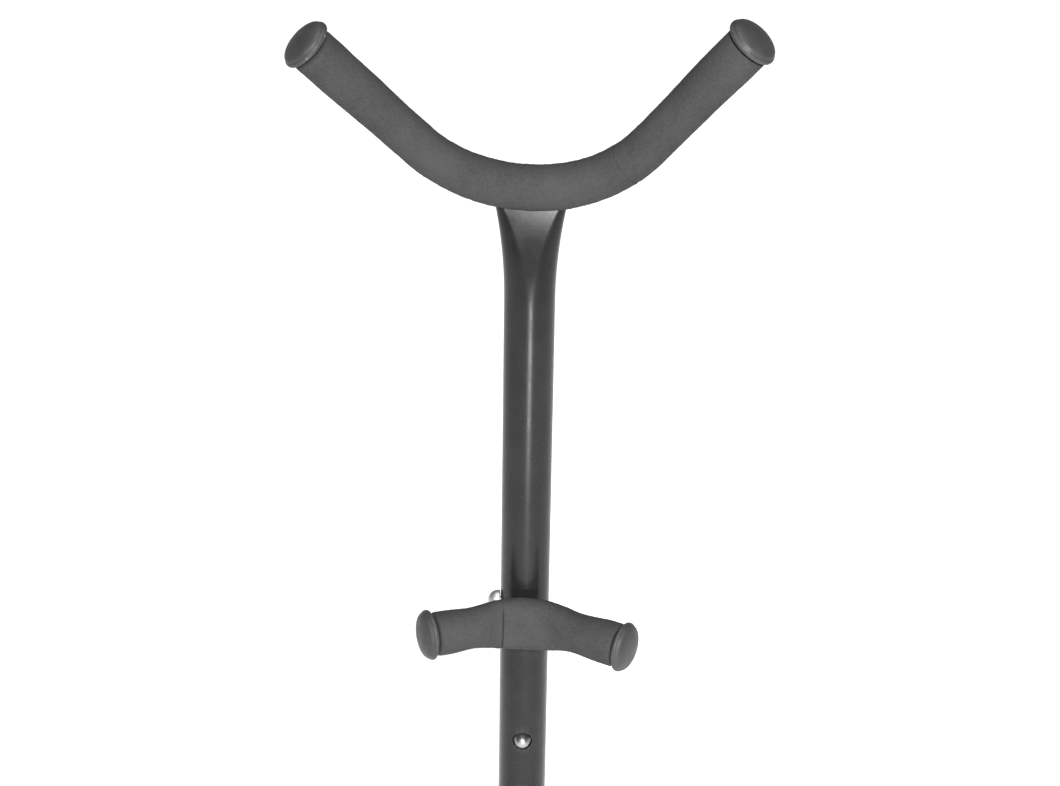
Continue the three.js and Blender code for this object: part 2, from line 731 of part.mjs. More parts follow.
// A rubber boot: a sleeve on the leg's end, closed at the tip, on a round pad with a flat sole.
function boot(flat, reach) {
  const fall = Math.atan2(LEG.height - footCentre, reach - flat);
  const end = at(reach, 0, footCentre);
  const along = at(Math.cos(fall), 0, -Math.sin(fall));
  const inner = end.clone().addScaledVector(along, -BOOT.sleeve);
  const outer = end.clone().addScaledVector(along, BOOT.endWall);
  const radius = LEG.radius + BOOT.wall;
  const sleeve = turned([
    [0, 0],
    [radius - BOOT.edge, 0],
    [radius, BOOT.edge],
    [radius, BOOT.sleeve + BOOT.endWall - BOOT.edge],
    [radius - BOOT.edge, BOOT.sleeve + BOOT.endWall],
    [0, BOOT.sleeve + BOOT.endWall],
  ], inner, along, TUBE_SIDES);
  const pad = turned([
    [0, 0],
    [BOOT.padRadius - BOOT.edge, 0],
    [BOOT.padRadius, BOOT.edge],
    [BOOT.padRadius - BOOT.edge, BOOT.padHeight],
    [0, BOOT.padHeight],
  ], at(reach - BOOT.padSetBack, 0, 0), upZ, TUBE_SIDES);
  const mouth = inner.clone().addScaledVector(along, -BOOT.endWall);
  const bore = rod(mouth, end.clone().addScaledVector(along, GAP), LEG.radius + GAP, TUBE_SIDES);
  const floor = box(at(0, -100, -100), outer.clone().setY(100).setX(outer.x + 100).setZ(0));
  return cut(joined(sleeve, pad), bore, floor);
}

function addLeg(group, name, bootName, place, heading, flat, reach, holes) {
  const carrier = new THREE.Group();
  carrier.position.copy(place);
  carrier.rotation.z = heading;
  addPiece(carrier, name, leg(flat, reach, holes), blackPaint);
  addPiece(carrier, bootName, boot(flat, reach), rubber);
  group.add(carrier);
}

// ---------------------------------------------------------------- hub

const sides = [{ name: 'left', sign: -1 }, { name: 'right', sign: 1 }];

// Where a stop rivet touches the front edge of an open leg.
function stopPlace(sign) {
  const across = legFlatHalf + GAP + STOP.shoulder;
  return at(
    sign * (pivotSide + STOP.along * Math.cos(LEG.splay) - across * Math.sin(LEG.splay)),
    -HUB.pivotForward - STOP.along * Math.sin(LEG.splay) - across * Math.cos(LEG.splay),
    0,
  );
}

function roundedOutline(corners, radius) {
  const shape = new THREE.Shape();
  corners.forEach((corner, i) => {
    const before = corners[(i + corners.length - 1) % corners.length];
    const after = corners[(i + 1) % corners.length];
    const enter = corner.clone().add(before.clone().sub(corner).setLength(radius));
    const leave = corner.clone().add(after.clone().sub(corner).setLength(radius));
    if (i === 0) {
      shape.moveTo(enter.x, enter.y);
    } else {
      shape.lineTo(enter.x, enter.y);
    }
    shape.quadraticCurveTo(corner.x, corner.y, leave.x, leave.y);
  });
  return shape;
}

function hubPlate(under) {
  const stop = stopPlace(1);
  const rearEnd = HUB.rearBolts[1] + HUB.rearMargin;
  const half = [
    new THREE.Vector2(pivotSide + HUB.margin - 2, stop.y - 1.5 * STOP.shoulder),
    new THREE.Vector2(pivotSide + HUB.margin, HUB.margin - HUB.pivotForward),
    new THREE.Vector2(HUB.rearMargin, LEG.frontFlat - HUB.foldMargin - HUB.pivotForward),
    new THREE.Vector2(HUB.rearMargin, rearEnd),
  ];
  const corners = [...half, ...half.map((p) => new THREE.Vector2(-p.x, p.y)).reverse()];
  const shape = roundedOutline(corners, HUB.cornerRadius);
  const plate = new THREE.ExtrudeGeometry(shape, { depth: HUB.plate, bevelEnabled: false, curveSegments: 4 });
  plate.translate(0, 0, under);
  const drill = (x, y, radius) => rod(at(x, y, under - 1), at(x, y, under + HUB.plate + 1), radius);
  const holes = sides.flatMap(({ sign }) => [
    drill(sign * pivotSide, -HUB.pivotForward, PIVOT_BOLT.radius + GAP),
    drill(stopPlace(sign).x, stop.y, STOP.radius + GAP),
  ]);
  const rear = HUB.rearBolts.map((y) => drill(0, y, PIVOT_BOLT.radius + GAP));
  return cut(plate, ...holes, ...rear);
}

function stopRivet(sign) {
  const low = bottomPlateUnder - GAP;
  const high = topPlateTop + GAP;
  const profile = [
    [0, low - STOP.headHeight],
    [STOP.headRadius * 0.6, low - STOP.headHeight],
    [STOP.headRadius, low],
    [STOP.radius, low],
    [STOP.radius, bottomPlateTop + GAP],
    [STOP.shoulder, bottomPlateTop + GAP],
    [STOP.shoulder, topPlateUnder - GAP],
    [STOP.radius, topPlateUnder - GAP],
    [STOP.radius, high],
    [STOP.headRadius, high],
    [STOP.headRadius * 0.6, high + STOP.headHeight],
    [0, high + STOP.headHeight],
  ];
  return turned(profile, stopPlace(sign), upZ);
}

// A bolt down through the hub, with its nut underneath.
function addHubBolt(group, boltName, nutName, x, y, seat) {
  const nutTop = bottomPlateUnder - GAP;
  const length = seat - nutTop + PIVOT_NUT.height + PIVOT_BOLT.spare;
  addPiece(group, boltName, bolt(PIVOT_BOLT, length, at(x, y, seat), upZ), steel);
  addPiece(group, nutName, nut(PIVOT_NUT, PIVOT_BOLT.radius, at(x, y, nutTop), at(0, 0, -1)), steel);
}

function pivotWasher(x, y) {
  const bore = PIVOT_BOLT.radius + GAP;
  const low = topPlateTop + GAP;
  const high = low + WASHER.thickness;
  const profile = [[bore, low], [WASHER.radius, low], [WASHER.radius, high], [bore, high], [bore, low]];
  return turned(profile, at(x, y, 0), upZ);
}

function base() {
  const group = new THREE.Group();
  addPiece(group, 'hub_top_plate', hubPlate(topPlateUnder), blackPaint);
  addPiece(group, 'hub_bottom_plate', hubPlate(bottomPlateUnder), blackPaint);
  sides.forEach(({ name, sign }) => {
    const x = sign * pivotSide;
    const y = -HUB.pivotForward;
    const heading = sign > 0 ? -LEG.splay : Math.PI + LEG.splay;
    addPiece(group, `stop_rivet_${name}`, stopRivet(sign), steel);
    addPiece(group, `pivot_washer_${name}`, pivotWasher(x, y), steel);
    const seat = topPlateTop + GAP + WASHER.thickness + GAP;
    addHubBolt(group, `pivot_bolt_${name}`, `pivot_nut_${name}`, x, y, seat);
    addLeg(group, `front_leg_${name}`, `front_boot_${name}`, at(x, y, 0), heading, LEG.frontFlat,
      LEG.frontReach, [0]);
  });
  const [firstBolt, secondBolt] = HUB.rearBolts;
  addHubBolt(group, 'rear_bolt_inner', 'rear_nut_inner', 0, firstBolt, topPlateTop + GAP);
  addHubBolt(group, 'rear_bolt_outer', 'rear_nut_outer', 0, secondBolt, topPlateTop + GAP);
  addLeg(group, 'rear_leg', 'rear_boot', at(0, firstBolt, 0), Math.PI / 2, LEG.rearFlat, LEG.rearReach,
    [0, secondBolt - firstBolt]);
  return group;
}

// ---------------------------------------------------------------- whole stand

const stand = new THREE.Group();
stand.add(shaft(), base());

// The origin is on the floor, in the middle of the stand's outline, which is even to left and right.
stand.updateMatrixWorld(true);
stand.position.y = -new THREE.Box3().setFromObject(stand, true).getCenter(new THREE.Vector3()).y;

export default stand;
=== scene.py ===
"""A folding saxophone stand: foam-covered yokes on a telescopic mast over a tripod hub."""

import json
from math import atan2, ceil, cos, pi, radians, sin, tan

import bmesh
import bpy
import numpy as np
from mathutils import Matrix, Vector, noise


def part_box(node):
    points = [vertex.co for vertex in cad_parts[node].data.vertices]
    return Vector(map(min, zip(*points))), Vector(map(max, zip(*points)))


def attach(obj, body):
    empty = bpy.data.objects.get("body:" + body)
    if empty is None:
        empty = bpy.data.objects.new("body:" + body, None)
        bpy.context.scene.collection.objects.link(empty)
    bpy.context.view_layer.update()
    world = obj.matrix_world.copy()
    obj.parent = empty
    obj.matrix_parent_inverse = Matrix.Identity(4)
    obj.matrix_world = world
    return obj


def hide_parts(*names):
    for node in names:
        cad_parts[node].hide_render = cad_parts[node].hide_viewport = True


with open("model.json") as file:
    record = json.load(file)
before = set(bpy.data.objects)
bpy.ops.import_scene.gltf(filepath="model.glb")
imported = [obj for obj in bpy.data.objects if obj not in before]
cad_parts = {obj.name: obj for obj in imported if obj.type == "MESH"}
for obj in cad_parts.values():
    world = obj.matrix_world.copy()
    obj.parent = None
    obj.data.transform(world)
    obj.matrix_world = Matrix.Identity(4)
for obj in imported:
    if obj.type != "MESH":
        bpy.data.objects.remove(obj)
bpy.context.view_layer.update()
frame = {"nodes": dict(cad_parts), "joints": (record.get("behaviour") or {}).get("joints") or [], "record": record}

record = frame["record"]
joints = {joint["name"]: joint for joint in frame["joints"]}
body_of = {node: body for body, nodes in record["behaviour"]["bodies"].items() for node in nodes}

# ------------------------------------------------------------------ sizes, in millimetres

MM = 0.001
GAP = 0.3  # between pieces that touch
MAST = {"radius": 11.1, "wall": 1.2, "length": 345.5,
        "pressed_half": 3.2, "pressed_start": 6, "pressed_length": 44}
INNER = {"radius": 9.525, "wall": 1.2, "top": 235}
BUTTON = {"drop": 265.5, "radius": 4.15, "hole": 4.55, "sag": 0.1, "pitch": 30, "stops": 3, "dome": 3.5,
          "seat": 5.325, "flange": 5, "flange_top": 6.325}
SHAFT_LENGTH = 392
BAR_RADIUS = 6.35
BAR_BORE = 5.15
# A yoke's radii and bends are its left and right ones. Its foam's walls are those in the middle, on an arm
# and at an end.
UPPER = {"radii": (65.8, 57.5), "bends": (radians(48.7), radians(54.1)), "left": 119.2, "right": 117.8,
         "seam": 41, "foam": (3.55, 2.8, 3.4), "tilt": radians(22.5), "shift": 2}
LOWER = {"radii": (45.4, 45.4), "bends": (radians(23.2), radians(28.2)), "left": 42.4, "right": 46.4,
         "seam": -10.5, "foam": (3.9, 2.75, 3.6), "pressed_half": 2.5, "flat_half": 9, "flat_run_out": 18,
         "drop": 199.5, "forward": 18, "turn": radians(1.2)}
PARTING = 0.02  # of each sleeve from its seam
CAP = {"rim": 11.3, "neck": 8.6, "neck_top": 1.1, "lip": 0.75, "face": 3.5, "dome": 3.6,
       "stem_length": 10}
SADDLE_RADIUS = 8
YOKE_BOLT = {"hole": 2.8, "head": 5.3, "head_height": 5.1}  # with clearance
SIDE_SCREW = {"radius": 1.7, "head": 4.6, "height": 5.5, "length": 5.4, "rise": 2.5}
SOCKET = {"wall": 2.2, "height": 35, "bolt_drop": 18, "bolt_hole": 2.8}
SOCKET_BOLT = {"radius": 2.5, "head": 4.5, "height": 3, "key": 1.5, "past_nut": 6}
LEG = {"radius": 8, "wall": 1.2, "pressed_half": 3, "height": 29, "run_out": 32, "splay": radians(30)}
FRONT = {"flat": 24, "reach": 195}
REAR = {"flat": 40, "reach": 175}
BOOT = {"radius": 10.2, "under": 3.5, "sleeve": 26, "end": 4, "pad": 11, "pad_height": 14, "set_back": 4}
BOLT = {"radius": 3, "head": 5.5, "height": 3.5, "key": 2, "hole": 3.3}
RIVET = {"radius": 2.5, "hole": 2.8, "head": 4.5, "dome": 1.8, "spacer": 4, "edge": 0.2}

# ------------------------------------------------------------------ local frames, from the joints


def local_frame(origin, x, y, z):
    """Local millimetres to the row frame's metres."""
    turn = Matrix((x, y, z)).transposed().to_4x4()
    return Matrix.Translation(origin) @ turn @ Matrix.Scale(MM, 4)


ACROSS = Vector((1, 0, 0))
UP = Vector(joints["mast_slide"]["axis"]).normalized()
FORWARD = Vector(joints["lower_yoke_swivel"]["axis"]).normalized()
yoke_bolt = Vector(joints["lower_yoke_swivel"]["pos_m"])
mast_top = yoke_bolt + UP * LOWER["drop"] * MM - FORWARD * LOWER["forward"] * MM

SHAFT = local_frame(mast_top, ACROSS, -FORWARD, UP)
UPPER_FRAME = SHAFT @ Matrix.Translation((UPPER["shift"], 0, 0)) @ Matrix.Rotation(UPPER["tilt"], 4, "X")
LOWER_FRAME = (SHAFT @ Matrix.Translation((0, -LOWER["forward"], -LOWER["drop"]))
               @ Matrix.Rotation(LOWER["turn"], 4, "Y") @ Matrix.Rotation(pi / 2, 4, "X"))
FLOOR = Matrix.Scale(MM, 4)

# ------------------------------------------------------------------ mesh helpers


def linked(name, vertices, faces, where):
    """A closed mesh object with its faces pointing out."""
    mesh = bpy.data.meshes.new(name)
    mesh.from_pydata([tuple(v) for v in vertices], [], faces)
    mesh.transform(where)
    work = bmesh.new()
    work.from_mesh(mesh)
    bmesh.ops.remove_doubles(work, verts=work.verts, dist=1e-7)
    bmesh.ops.recalc_face_normals(work, faces=work.faces)
    work.to_mesh(mesh)
    work.free()
    made = bpy.data.objects.new(name, mesh)
    bpy.context.scene.collection.objects.link(made)
    return made


def skin(name, rings, where, hollow=False):
    """A skin over rings of points. A hollow one closes from its last ring back to its first."""
    rings = np.asarray(rings, float)
    count, sides = rings.shape[:2]
    faces = []
    for i in range(count if hollow else count - 1):
        here, there = i * sides, (i + 1) % count * sides
        for k in range(sides):
            after = (k + 1) % sides
            faces.append((here + k, here + after, there + after, there + k))
    if not hollow:
        faces.append(tuple(reversed(range(sides))))
        faces.append(tuple(range((count - 1) * sides, count * sides)))
    return linked(name, rings.reshape(-1, 3), faces, where)


def around(sides):
    return (np.arange(sides) + 0.5) * 2 * pi / sides


def turned(name, rows, where, sides=72, hollow=False):
    """A piece turned about local Z. A row is (radius, height), and its radius may be a function of angle."""
    angles = np.arange(sides) * 2 * pi / sides
    rings = []
    for radius, height in rows:
        r = radius(angles) if callable(radius) else radius
        level = np.full(sides, float(height))
        rings.append(np.stack([r * np.cos(angles), r * np.sin(angles), level], axis=1))
    return skin(name, rings, where, hollow)


def rounded(corners, size, steps=4, closed=False):
    """The same path with each corner rounded off."""
    corners = [np.asarray(c, float) for c in corners]
    path = []
    for i, corner in enumerate(corners):
        if not closed and i in (0, len(corners) - 1):
            path.append(corner)
            continue
        before = corners[i - 1] - corner
        after = corners[(i + 1) % len(corners)] - corner
        cut = min(size, np.linalg.norm(before) * 0.45, np.linalg.norm(after) * 0.45)
        enter = corner + before / np.linalg.norm(before) * cut
        leave = corner + after / np.linalg.norm(after) * cut
        for t in np.linspace(0, 1, steps + 1):
            path.append(enter * (1 - t) ** 2 + corner * 2 * t * (1 - t) + leave * t ** 2)
    return path


def hexagon(flats):
    """Radius of a hexagon by angle, for its width across flats."""
    return lambda angles: flats / 2 / np.cos((angles + pi / 6) % (pi / 3) - pi / 6)


def facing(where, place, direction):
    """A frame at a place in a local frame, with its Z along a direction."""
    turn = Vector(direction).to_track_quat("Z", "Y").to_matrix().to_4x4()
    return where @ Matrix.Translation(place) @ turn


def rod(radius, start, end, where, sides=48):
    start, end = Vector(start), Vector(end)
    place = facing(where, start, end - start)
    return turned("cutter", [(0, 0), (radius, 0), (radius, (end - start).length), (0, (end - start).length)],
                  place, sides)


def applied(made):
    """Makes a mesh of the object's modifiers."""
    bpy.context.view_layer.update()
    mesh = bpy.data.meshes.new_from_object(made.evaluated_get(bpy.context.evaluated_depsgraph_get()))
    made.modifiers.clear()
    old, made.data = made.data, mesh
    bpy.data.meshes.remove(old)
    return made


def boolean(made, cutter, operation="DIFFERENCE"):
    step = made.modifiers.new(operation.lower(), "BOOLEAN")
    step.object, step.operation, step.solver = cutter, operation, "EXACT"
    applied(made)
    bpy.data.objects.remove(cutter)
    return made


def bevelled(made, width, angle=radians(40), segments=3):
    step = made.modifiers.new("edges", "BEVEL")
    step.width, step.segments, step.limit_method, step.angle_limit = width * MM, segments, "ANGLE", angle
    return applied(made)


def piece(made, node, material, sharp=radians(35)):
    """Dresses a finished mesh and puts it in its CAD node's place."""
    made.name = node + "_fine"
    made.data.name = made.name
    made.data.materials.clear()
    made.data.materials.append(material)
    made.data.polygons.foreach_set("use_smooth", [True] * len(made.data.polygons))
    made.data.set_sharp_from_angle(angle=sharp)
    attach(made, body_of[node])
    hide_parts(node)
    return made


def eased(start, end, share):
    share = min(max(share, 0), 1)
    return start + (end - start) * share * share * (3 - 2 * share)


def section(radius, half, sides):
    """Points round a tube that is pressed to a half thickness without stretching its wall."""
    angles = around(sides)
    straight = pi * (radius - half) / 2
    wide = half * np.cos(angles) + np.sign(np.cos(angles)) * straight
    return np.stack([wide, half * np.sin(angles)], axis=1)


def ring(at, wide, thin, outline):
    return np.asarray(at) + outline[:, :1] * np.asarray(wide) + outline[:, 1:] * np.asarray(thin)


def spaced(start, end, step):
    return np.linspace(start, end, max(1, ceil(abs(end - start) / step - 1e-9)) + 1)


# ------------------------------------------------------------------ materials


class Shader:
    """A principled material, built node by node."""

    def __init__(self, name, **uniform):
        self.material = bpy.data.materials.new(name)
        self.material.use_nodes = True
        self.tree = self.material.node_tree
        self.surface = self.tree.nodes["Principled BSDF"]
        for socket, value in uniform.items():
            self.surface.inputs[socket.replace("_", " ")].default_value = value
        self.place = self.node("ShaderNodeTexCoord").outputs["Object"]

    def node(self, kind, **inputs):
        made = self.tree.nodes.new(kind)
        for name, value in inputs.items():
            self.join(value, made.inputs[name.replace("_", " ")])
        return made

    def join(self, value, socket):
        if isinstance(value, bpy.types.NodeSocket):
            self.tree.links.new(value, socket)
        else:
            socket.default_value = value

    def stretched(self, x, y, z):
        moved = self.node("ShaderNodeMapping", Vector=self.place)
        moved.inputs["Scale"].default_value = (x, y, z)
        return moved.outputs["Vector"]

    def noise(self, scale, detail=3.0, roughness=0.55, place=None):
        return self.node("ShaderNodeTexNoise", Vector=place or self.place, Scale=scale, Detail=detail,
                         Roughness=roughness).outputs["Fac"]

    def cells(self, scale, place=None):
        return self.node("ShaderNodeTexVoronoi", Vector=place or self.place, Scale=scale).outputs["Distance"]

    def mapped(self, value, low, high, to_low=0.0, to_high=1.0):
        made = self.node("ShaderNodeMapRange", Value=value, From_Min=low, From_Max=high)
        made.inputs["To Min"].default_value, made.inputs["To Max"].default_value = to_low, to_high
        return made.outputs["Result"]

    def maths(self, operation, a, b=0.0):
        made = self.tree.nodes.new("ShaderNodeMath")
        made.operation = operation
        self.join(a, made.inputs[0])
        self.join(b, made.inputs[1])
        return made.outputs["Value"]

    def blend(self, share, first, second):
        made = self.tree.nodes.new("ShaderNodeMix")
        made.data_type = "RGBA"
        self.join(share, made.inputs["Factor"])
        self.join(first, made.inputs["A"])
        self.join(second, made.inputs["B"])
        return made.outputs["Result"]

    def bump(self, height, distance, strength=1.0, under=None):
        made = self.node("ShaderNodeBump", Height=height, Strength=strength)
        made.inputs["Distance"].default_value = distance * MM
        if under:
            self.join(under, made.inputs["Normal"])
        return made.outputs["Normal"]

    def edges(self, low=0.51, high=0.56):
        """1 on worn convex edges, broken up by noise."""
        point = self.node("ShaderNodeNewGeometry").outputs["Pointiness"]
        worn = self.mapped(point, low, high)
        return self.maths("MULTIPLY", worn, self.mapped(self.noise(900, 4), 0.45, 0.6))

    def finish(self, colour=None, rough=None, normal=None):
        for value, name in ((colour, "Base Color"), (rough, "Roughness"), (normal, "Normal")):
            if value is not None:
                self.join(value, self.surface.inputs[name])
        return self.material


def grey(level, tint=0.0):
    return (level * (1 - tint), level, level * (1 + tint), 1)


def foam_material():
    """Closed-cell foam rubber: fine open pores with painted shade darkening them, a dry bloom in patches, faint
    rubbed places.
    """
    s = Shader("foam", Specular_IOR_Level=0.08)
    patches = s.mapped(s.noise(45, 4), 0.35, 0.65)
    colour = s.blend(patches, grey(0.022, 0.01), grey(0.030, 0.01))
    grain = s.mapped(s.noise(1000, 3, 0.7), 0.35, 0.65)
    colour = s.blend(s.maths("MULTIPLY", grain, 0.45), colour, grey(0.044, 0.01))
    fine = s.noise(2600, 3, 0.7)
    colour = s.blend(s.mapped(fine, 0.62, 0.75, 0.0, 0.3), colour, grey(0.07))
    pores = s.mapped(s.cells(1700), 0.05, 0.35)
    # painted shade: dark dots at the pore cells stand for the shade inside the pores
    colour = s.blend(s.mapped(s.cells(1700), 0.0, 0.16, 0.6, 0.0), colour, grey(0.01))
    rough = s.mapped(s.noise(220, 3), 0.3, 0.7, 0.7, 0.85)
    normal = s.bump(pores, 0.08, 0.6)
    normal = s.bump(s.noise(700, 4, 0.6), 0.4, 0.7, normal)
    return s.finish(colour, rough, normal)


def paint_material():
    """Satin black paint on tube: orange peel, faint dust, a few rubbed edges."""
    s = Shader("black_paint", Specular_IOR_Level=0.18)
    base = s.blend(s.mapped(s.noise(60, 4), 0.3, 0.7), grey(0.007, 0.01), grey(0.011, 0.01))
    specks = s.mapped(s.noise(2400, 2, 0.8), 0.70, 0.76)
    base = s.blend(s.maths("MULTIPLY", specks, 0.3), base, grey(0.12))
    base = s.blend(s.maths("MULTIPLY", s.edges(0.54, 0.62), 0.35), base, grey(0.22))
    rough = s.mapped(s.noise(160, 4), 0.3, 0.7, 0.25, 0.32)
    normal = s.bump(s.noise(420, 2, 0.5), 0.06, 0.35)
    return s.finish(base, rough, s.bump(s.noise(1800, 2), 0.02, 0.4, normal))


def plastic_material():
    """Moulded black plastic with a fine spark-eroded grain."""
    s = Shader("black_plastic", Specular_IOR_Level=0.22)
    base = s.blend(s.mapped(s.noise(80, 3), 0.35, 0.65), grey(0.021), grey(0.029))
    base = s.blend(s.maths("MULTIPLY", s.edges(), 0.4), base, grey(0.16))
    rough = s.mapped(s.noise(260, 3), 0.3, 0.7, 0.42, 0.58)
    return s.finish(base, rough, s.bump(s.noise(3000, 2, 0.6), 0.03, 0.5))


def nylon_material():
    s = Shader("nylon", Specular_IOR_Level=0.45, Subsurface_Weight=0.1)
    base = s.blend(s.noise(120, 3), (0.66, 0.65, 0.6, 1), (0.76, 0.75, 0.71, 1))
    return s.finish(base, s.mapped(s.noise(300), 0.3, 0.7, 0.4, 0.6), s.bump(s.noise(1500), 0.03, 0.4))


def steel_material(name, low, high, smooth, dull, spangle):
    """Plated steel: cloudy zinc, fine handling scratches, darker in its grain."""
    s = Shader(name, Metallic=1.0)
    cloud = s.mapped(s.noise(spangle, 5, 0.6), 0.3, 0.7)
    base = s.blend(cloud, grey(low, 0.012), grey(high, 0.008))
    dirt = s.mapped(s.noise(1400, 4, 0.7), 0.6, 0.72, 0.0, 0.35)
    base = s.blend(dirt, base, grey(low * 0.45))
    scratches = s.noise(90, 5, 0.7, s.stretched(9, 9, 0.5))
    rough = s.mapped(s.maths("ADD", s.maths("MULTIPLY", cloud, 0.5), scratches), 0.4, 1.0, smooth, dull)
    return s.finish(base, rough, s.bump(scratches, 0.02, 0.3))


def plated_tube_material():
    """Bright plated tube, with long scratches from the mast that slides over it."""
    s = Shader("plated_tube", Metallic=1.0)
    along = s.noise(60, 6, 0.7, s.stretched(14, 14, 0.35))
    base = s.blend(s.mapped(s.noise(70, 4), 0.3, 0.7), grey(0.28, 0.01), grey(0.36, 0.01))
    rough = s.mapped(along, 0.4, 0.65, 0.16, 0.34)
    return s.finish(base, rough, s.bump(along, 0.015, 0.35))


def rubber_material():
    """Moulded rubber, dusty towards the floor."""
    s = Shader("rubber", Specular_IOR_Level=0.3)
    height = s.node("ShaderNodeSeparateXYZ", Vector=s.place).outputs["Z"]
    low = s.mapped(height, 0.0, 0.012, 1.0, 0.0)
    dusty = s.maths("MULTIPLY", low, s.mapped(s.noise(500, 5, 0.7), 0.4, 0.65))
    base = s.blend(s.mapped(s.noise(90, 4), 0.3, 0.7), grey(0.014), grey(0.024))
    base = s.blend(s.maths("MULTIPLY", dusty, 0.5), base, (0.16, 0.15, 0.135, 1))
    rough = s.mapped(s.noise(300, 3), 0.3, 0.7, 0.6, 0.8)
    normal = s.bump(s.noise(1500, 3, 0.6), 0.05, 0.5)
    return s.finish(base, rough, normal)


foam = foam_material()
paint = paint_material()
plastic = plastic_material()
nylon = nylon_material()
zinc = steel_material("zinc_steel", 0.36, 0.5, 0.2, 0.38, 260)
bright = steel_material("bright_steel", 0.2, 0.28, 0.34, 0.46, 120)
satin = steel_material("satin_steel", 0.38, 0.5, 0.42, 0.55, 150)
spring_steel = steel_material("spring_steel", 0.24, 0.34, 0.25, 0.4, 200)
plated = plated_tube_material()
rubber = rubber_material()

# ------------------------------------------------------------------ mast


def mast_half(drop):
    share = min(max((drop - MAST["pressed_start"]) / MAST["pressed_length"], 0), 1)
    return MAST["radius"] - (MAST["radius"] - MAST["pressed_half"]) * (1 - share) ** 2


def mast_ring(drop, larger, sides):
    outline = section(MAST["radius"] + larger, mast_half(drop) + larger, sides)
    return ring((0, 0, -drop), (1, 0, 0), (0, 1, 0), outline)


def mast_drops():
    flat_end = MAST["pressed_start"] + MAST["pressed_length"]
    return [*spaced(0, flat_end, 1.0), *spaced(flat_end, MAST["length"], 12)[1:]]


def fish_mouth(rings):
    """Drops the top rings to meet the underside of the round yoke bar."""
    room = BAR_RADIUS + GAP
    for points in rings:
        x, y = points[:, 0] - UPPER["shift"], points[:, 1]
        bend = np.where(x < 0, *UPPER["radii"])
        rise = bend - np.sqrt(bend ** 2 - x ** 2)
        off = y + rise * sin(UPPER["tilt"])
        under = rise * cos(UPPER["tilt"]) - np.sqrt(np.maximum(room ** 2 - off ** 2, 0))
        points[:, 2] = np.minimum(points[:, 2], under)
    return rings


def front_hole(drop, radius):
    return rod(radius, (0, 0, -drop), (0, -2 * MAST["radius"], -drop), SHAFT)


def make_mast():
    sides = 128
    drops = mast_drops()
    outer = [mast_ring(drop, 0, sides) for drop in drops]
    inner = [mast_ring(drop, -MAST["wall"], sides) for drop in reversed(drops)]
    made = skin("mast", fish_mouth(outer + inner), SHAFT, hollow=True)
    for i in range(BUTTON["stops"]):
        boolean(made, front_hole(BUTTON["drop"] + BUTTON["sag"] + i * BUTTON["pitch"], BUTTON["hole"]))
    boolean(made, front_hole(LOWER["drop"], YOKE_BOLT["hole"]))
    rise = SIDE_SCREW["rise"] - LOWER["drop"]
    boolean(made, rod(SIDE_SCREW["radius"] + GAP, (0, 0, rise), (-2 * MAST["radius"], 0, rise), SHAFT))
    piece(made, "mast_tube", paint)


def make_collar():
    """A plastic guide bush with shallow grip flutes."""
    wall, under, height = 2.1, 3, 15
    flutes, deep, chamfer, plain, ends = 28, 0.35, 0.8, 2.6, 3.2
    bore, wide_bore = INNER["radius"] + GAP, MAST["radius"] + GAP
    outer = wide_bore + wall
    bottom = -MAST["length"] - under
    top = bottom + height
    step = -MAST["length"] - GAP

    def fluted(angles):
        return outer - deep * np.maximum(np.cos(angles * flutes), 0) ** 2

    rows = [(bore, step), (bore, bottom), (outer - chamfer, bottom), (outer, bottom + chamfer)]
    rows += [(outer, bottom + plain), (fluted, bottom + ends), (fluted, top - ends), (outer, top - plain)]
    rows += [(outer, top - chamfer), (outer - chamfer, top), (wide_bore, top), (wide_bore, step)]
    piece(turned("collar", rows, SHAFT, 12 * flutes, hollow=True), "mast_collar", plastic)


def straight_tube(radius, wall, top, bottom):
    outer = section(radius, radius, 96)
    inner = section(radius - wall, radius - wall, 96)
    drops = spaced(top, bottom, 12)
    rings = [ring((0, 0, -d), (1, 0, 0), (0, 1, 0), outer) for d in drops]
    rings += [ring((0, 0, -d), (1, 0, 0), (0, 1, 0), inner) for d in reversed(drops)]
    return skin("tube", rings, SHAFT, hollow=True)


def below_hub():
    """Everything under the hub's top face."""
    top = (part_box("hub_top_plate")[1].z / MM + GAP) * MM
    reach = 0.2
    square = [(-reach, -reach), (reach, -reach), (reach, reach), (-reach, reach)]
    return skin("cutter", [[(x, y, z) for x, y in square] for z in (top - reach, top)], Matrix())


def socket_cross_hole():
    drop = SHAFT_LENGTH - SOCKET["bolt_drop"]
    reach = 20
    return rod(SOCKET["bolt_hole"], (-reach, 0, -drop), (reach, 0, -drop), SHAFT)


def make_inner_tube():
    made = straight_tube(INNER["radius"], INNER["wall"], INNER["top"], SHAFT_LENGTH + INNER["radius"])
    boolean(made, front_hole(BUTTON["drop"], BUTTON["radius"] + GAP))
    boolean(boolean(made, socket_cross_hole()), below_hub())
    piece(made, "inner_tube", plated)


def make_socket():
    outer = INNER["radius"] + GAP + SOCKET["wall"]
    made = straight_tube(outer, SOCKET["wall"], SHAFT_LENGTH - SOCKET["height"], SHAFT_LENGTH + outer)
    boolean(boolean(made, socket_cross_hole()), below_hub())
    piece(bevelled(made, 0.35), "socket", paint)
    make_weld(outer)


